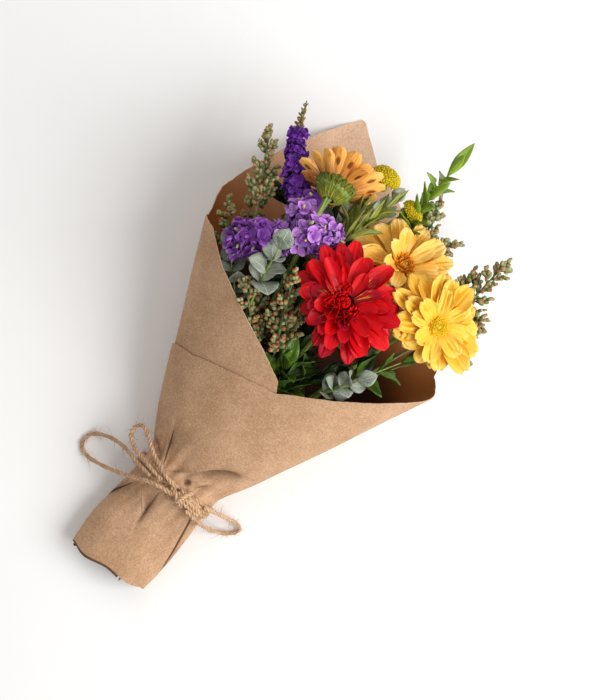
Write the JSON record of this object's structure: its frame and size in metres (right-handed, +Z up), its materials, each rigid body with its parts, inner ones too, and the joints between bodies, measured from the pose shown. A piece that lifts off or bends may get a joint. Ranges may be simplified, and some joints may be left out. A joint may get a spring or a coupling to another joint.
{
  "type": "mixed flower bouquet",
  "caption": "Mixed bouquet of chrysanthemums, larkspur and foliage in a kraft-paper wrap tied with a twine bow, lying on its back.",
  "frame": {"origin": "middle of the ground that the lying bouquet covers, on the surface it rests on; the tie is 152 mm towards -Y", "axes": "+Z up, +Y along the bouquet from the cut stems to the flowers, +X to the right seen from above"},
  "size_m": [0.291, 0.5176, 0.1737],
  "materials": {
    "kraft_paper": "brown kraft paper, matt, fine fibre speckle",
    "jute_twine": "twisted jute, frayed fibres",
    "red_petals": "soft petal",
    "yellow_petals": "soft petal",
    "bronze_petals": "soft petal, brown flecks",
    "green_stem": "smooth stem",
    "button_yellow": "dense florets",
    "lilac_florets": "soft petal",
    "purple_florets": "soft petal",
    "olive_buds": "closed buds with red tips",
    "silver_leaf": "waxy silver leaf",
    "fresh_leaf": "fresh leaf",
    "lime_leaf": "narrow yellow-green leaf",
    "dark_leaf": "dark green leaf"
  },
  "bodies": {
    "root": {"wrap": "kraft_paper", "twine_band": "jute_twine", "twine_loop_left": "jute_twine", "twine_loop_top": "jute_twine", "twine_loop_right": "jute_twine", "red_chrysanthemum_stem": "green_stem", "yellow_daisy_front_stem": "green_stem", "yellow_daisy_back_stem": "green_stem", "bronze_chrysanthemum_stem": "green_stem", "button_flower_left_stem": "green_stem", "button_flower_right_stem": "green_stem", "lilac_head_left_stem": "green_stem", "lilac_head_right_stem": "green_stem", "larkspur_stem": "green_stem", "bud_spray_tall": "olive_buds", "bud_spray_front": "olive_buds", "bud_spray_rim": "olive_buds", "bud_spray_right": "olive_buds", "bud_spray_upper": "olive_buds", "bud_spray_left": "olive_buds", "eucalyptus_front": "silver_leaf", "eucalyptus_rim": "silver_leaf", "eucalyptus_left": "silver_leaf", "eucalyptus_top": "silver_leaf", "eucalyptus_right": "silver_leaf", "eucalyptus_low": "silver_leaf", "leafy_sprig": "fresh_leaf", "narrow_foliage": "lime_leaf", "dark_foliage_front": "dark_leaf", "dark_foliage_right": "dark_leaf", "dark_foliage_middle": "dark_leaf", "dark_foliage_low": "dark_leaf", "red_chrysanthemum_petals": "red_petals", "yellow_daisy_front_petals": "yellow_petals", "yellow_daisy_back_petals": "yellow_petals", "bronze_chrysanthemum_petals": "bronze_petals", "button_flower_left_head": "button_yellow", "button_flower_right_head": "button_yellow", "lilac_head_left_florets": "lilac_florets", "lilac_head_right_florets": "lilac_florets", "larkspur_florets": "purple_florets"}
  },
  "joints": []
}
